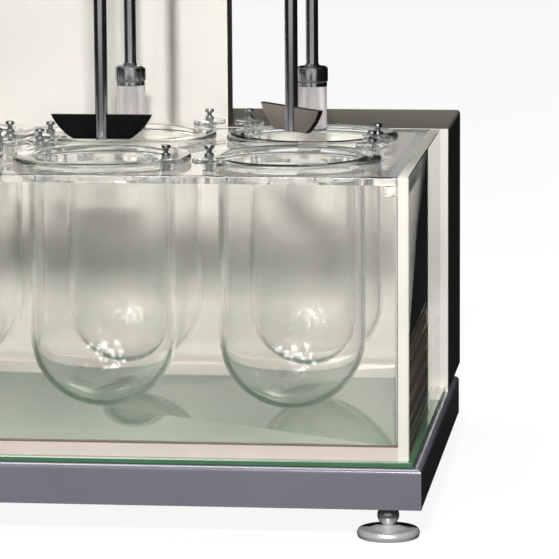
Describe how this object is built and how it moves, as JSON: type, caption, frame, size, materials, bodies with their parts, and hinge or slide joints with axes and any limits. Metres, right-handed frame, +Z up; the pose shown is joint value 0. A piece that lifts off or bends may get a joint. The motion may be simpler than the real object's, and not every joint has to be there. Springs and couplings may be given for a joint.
{
  "type": "dissolution tester",
  "caption": "Bench dissolution tester: round-bottomed glass vessels hang in a clear water bath under a lifting head with paddle and basket stirrers.",
  "frame": {"origin": "on the bench below the middle of the footprint", "axes": "+Z up, -Y towards the front of the bath, +X to the right seen from the front"},
  "size_m": [0.622, 0.4302, 0.629],
  "materials": {
    "grey_paint": "satin",
    "dark_paint": "satin",
    "stainless": "brushed",
    "polished_steel": "polished",
    "paddle_steel": "polished, dark",
    "basket_steel": "woven wire",
    "chrome": "mirror",
    "clear_acrylic": "clear",
    "vessel_glass": "clear",
    "plate_glass": "clear, green edge",
    "bare_alloy": "machined",
    "black_plastic": "matte",
    "key_plastic": "matte",
    "display": "gloss",
    "belt_rubber": "matte"
  },
  "bodies": {
    "frame": {"base_tray": "grey_paint", "base_glass": "plate_glass", "tank_floor": "clear_acrylic", "tank_front_wall": "clear_acrylic", "tank_rear_wall": "clear_acrylic", "tank_end_walls": "clear_acrylic", "plate_ledges": "clear_acrylic", "vessel_plate": "clear_acrylic", "vessel_1": "vessel_glass", "vessel_2": "vessel_glass", "vessel_3": "vessel_glass", "vessel_4": "vessel_glass", "vessel_5": "vessel_glass", "vessel_6": "vessel_glass", "vessel_7": "vessel_glass", "vessel_8": "vessel_glass", "vessel_clips": "clear_acrylic", "clip_screws": "chrome", "housing_shell": "dark_paint", "front_panel": "stainless", "bath_pipes": "stainless", "water_heater": "bare_alloy", "power_inlet": "black_plastic", "column_shell": "dark_paint", "guide_rods": "chrome", "lift_actuator": "bare_alloy"},
    "head": {"carriage": "bare_alloy", "head_chassis": "bare_alloy", "head_cover": "grey_paint", "control_panel": "black_plastic", "display_window": "display", "drive_motor": "dark_paint", "drive_belt": "belt_rubber", "spindle_bearings": "polished_steel", "actuator_ram": "chrome"},
    "stirrer_1": {"spindle_1": "polished_steel", "paddle_1": "paddle_steel"},
    "stirrer_2": {"spindle_2": "polished_steel", "paddle_2": "paddle_steel"},
    "stirrer_3": {"spindle_3": "polished_steel", "paddle_3": "paddle_steel"},
    "stirrer_4": {"spindle_4": "polished_steel", "paddle_4": "paddle_steel"},
    "stirrer_5": {"spindle_5": "polished_steel", "basket_1": "basket_steel"},
    "stirrer_6": {"spindle_6": "polished_steel", "basket_2": "basket_steel"},
    "stirrer_7": {"spindle_7": "polished_steel", "basket_3": "basket_steel"},
    "stirrer_8": {"spindle_8": "polished_steel", "basket_4": "basket_steel"},
    "motor_rotor": {"motor_pulley": "bare_alloy"},
    "key_1": {"key_1": "key_plastic"},
    "key_2": {"key_2": "key_plastic"},
    "key_3": {"key_3": "key_plastic"},
    "rocker": {"power_switch": "black_plastic"},
    "foot_1": {"foot_1": "chrome"},
    "foot_2": {"foot_2": "chrome"},
    "foot_3": {"foot_3": "chrome"},
    "foot_4": {"foot_4": "chrome"}
  },
  "joints": [
    {"name": "head_lift", "type": "slide", "parent": "frame", "child": "head", "axis": [0, 0, 1], "range_m": [-0.171, 0]},
    {"name": "stirrer_1_spin", "type": "hinge", "parent": "head", "child": "stirrer_1", "pos_m": [-0.21, -0.1349, 0.495], "axis": [0, 0, 1], "continuous": true},
    {"name": "stirrer_2_spin", "type": "hinge", "parent": "head", "child": "stirrer_2", "pos_m": [-0.07, -0.1349, 0.495], "axis": [0, 0, 1], "continuous": true},
    {"name": "stirrer_3_spin", "type": "hinge", "parent": "head", "child": "stirrer_3", "pos_m": [0.07, -0.1349, 0.495], "axis": [0, 0, 1], "continuous": true},
    {"name": "stirrer_4_spin", "type": "hinge", "parent": "head", "child": "stirrer_4", "pos_m": [0.21, -0.1349, 0.495], "axis": [0, 0, 1], "continuous": true},
    {"name": "stirrer_5_spin", "type": "hinge", "parent": "head", "child": "stirrer_5", "pos_m": [-0.21, 0.0011, 0.495], "axis": [0, 0, 1], "continuous": true},
    {"name": "stirrer_6_spin", "type": "hinge", "parent": "head", "child": "stirrer_6", "pos_m": [-0.07, 0.0011, 0.495], "axis": [0, 0, 1], "continuous": true},
    {"name": "stirrer_7_spin", "type": "hinge", "parent": "head", "child": "stirrer_7", "pos_m": [0.07, 0.0011, 0.495], "axis": [0, 0, 1], "continuous": true},
    {"name": "stirrer_8_spin", "type": "hinge", "parent": "head", "child": "stirrer_8", "pos_m": [0.21, 0.0011, 0.495], "axis": [0, 0, 1], "continuous": true},
    {"name": "motor_spin", "type": "hinge", "parent": "head", "child": "motor_rotor", "pos_m": [-0.243, -0.0669, 0.495], "axis": [0, 0, 1], "continuous": true},
    {"name": "key_1_press", "type": "slide", "parent": "head", "child": "key_1", "axis": [0, 1, 0], "range_m": [0, 0.0012], "stiffness_N_per_m": 800, "springref_m": -0.0005},
    {"name": "key_2_press", "type": "slide", "parent": "head", "child": "key_2", "axis": [0, 1, 0], "range_m": [0, 0.0012], "stiffness_N_per_m": 800, "springref_m": -0.0005},
    {"name": "key_3_press", "type": "slide", "parent": "head", "child": "key_3", "axis": [0, 1, 0], "range_m": [0, 0.0012], "stiffness_N_per_m": 800, "springref_m": -0.0005},
    {"name": "switch_rock", "type": "hinge", "parent": "frame", "child": "rocker", "pos_m": [-0.15375, 0.2061, 0.13], "axis": [1, 0, 0], "range_deg": [-24, 0]},
    {"name": "foot_1_turn", "type": "hinge", "parent": "frame", "child": "foot_1", "pos_m": [-0.285, -0.1891, 0.025], "axis": [0, 0, 1], "continuous": true},
    {"name": "foot_2_turn", "type": "hinge", "parent": "frame", "child": "foot_2", "pos_m": [0.285, -0.1891, 0.025], "axis": [0, 0, 1], "continuous": true},
    {"name": "foot_3_turn", "type": "hinge", "parent": "frame", "child": "foot_3", "pos_m": [-0.255, 0.1271, 0.025], "axis": [0, 0, 1], "continuous": true},
    {"name": "foot_4_turn", "type": "hinge", "parent": "frame", "child": "foot_4", "pos_m": [0.255, 0.1271, 0.025], "axis": [0, 0, 1], "continuous": true}
  ],
  "couplings": [
    {"joint": "stirrer_2_spin", "follows": "stirrer_1_spin", "ratio": 1},
    {"joint": "stirrer_3_spin", "follows": "stirrer_1_spin", "ratio": 1},
    {"joint": "stirrer_4_spin", "follows": "stirrer_1_spin", "ratio": 1},
    {"joint": "stirrer_5_spin", "follows": "stirrer_1_spin", "ratio": 1},
    {"joint": "stirrer_6_spin", "follows": "stirrer_1_spin", "ratio": 1},
    {"joint": "stirrer_7_spin", "follows": "stirrer_1_spin", "ratio": 1},
    {"joint": "stirrer_8_spin", "follows": "stirrer_1_spin", "ratio": 1},
    {"joint": "motor_spin", "follows": "stirrer_1_spin", "ratio": 1.6667}
  ]
}
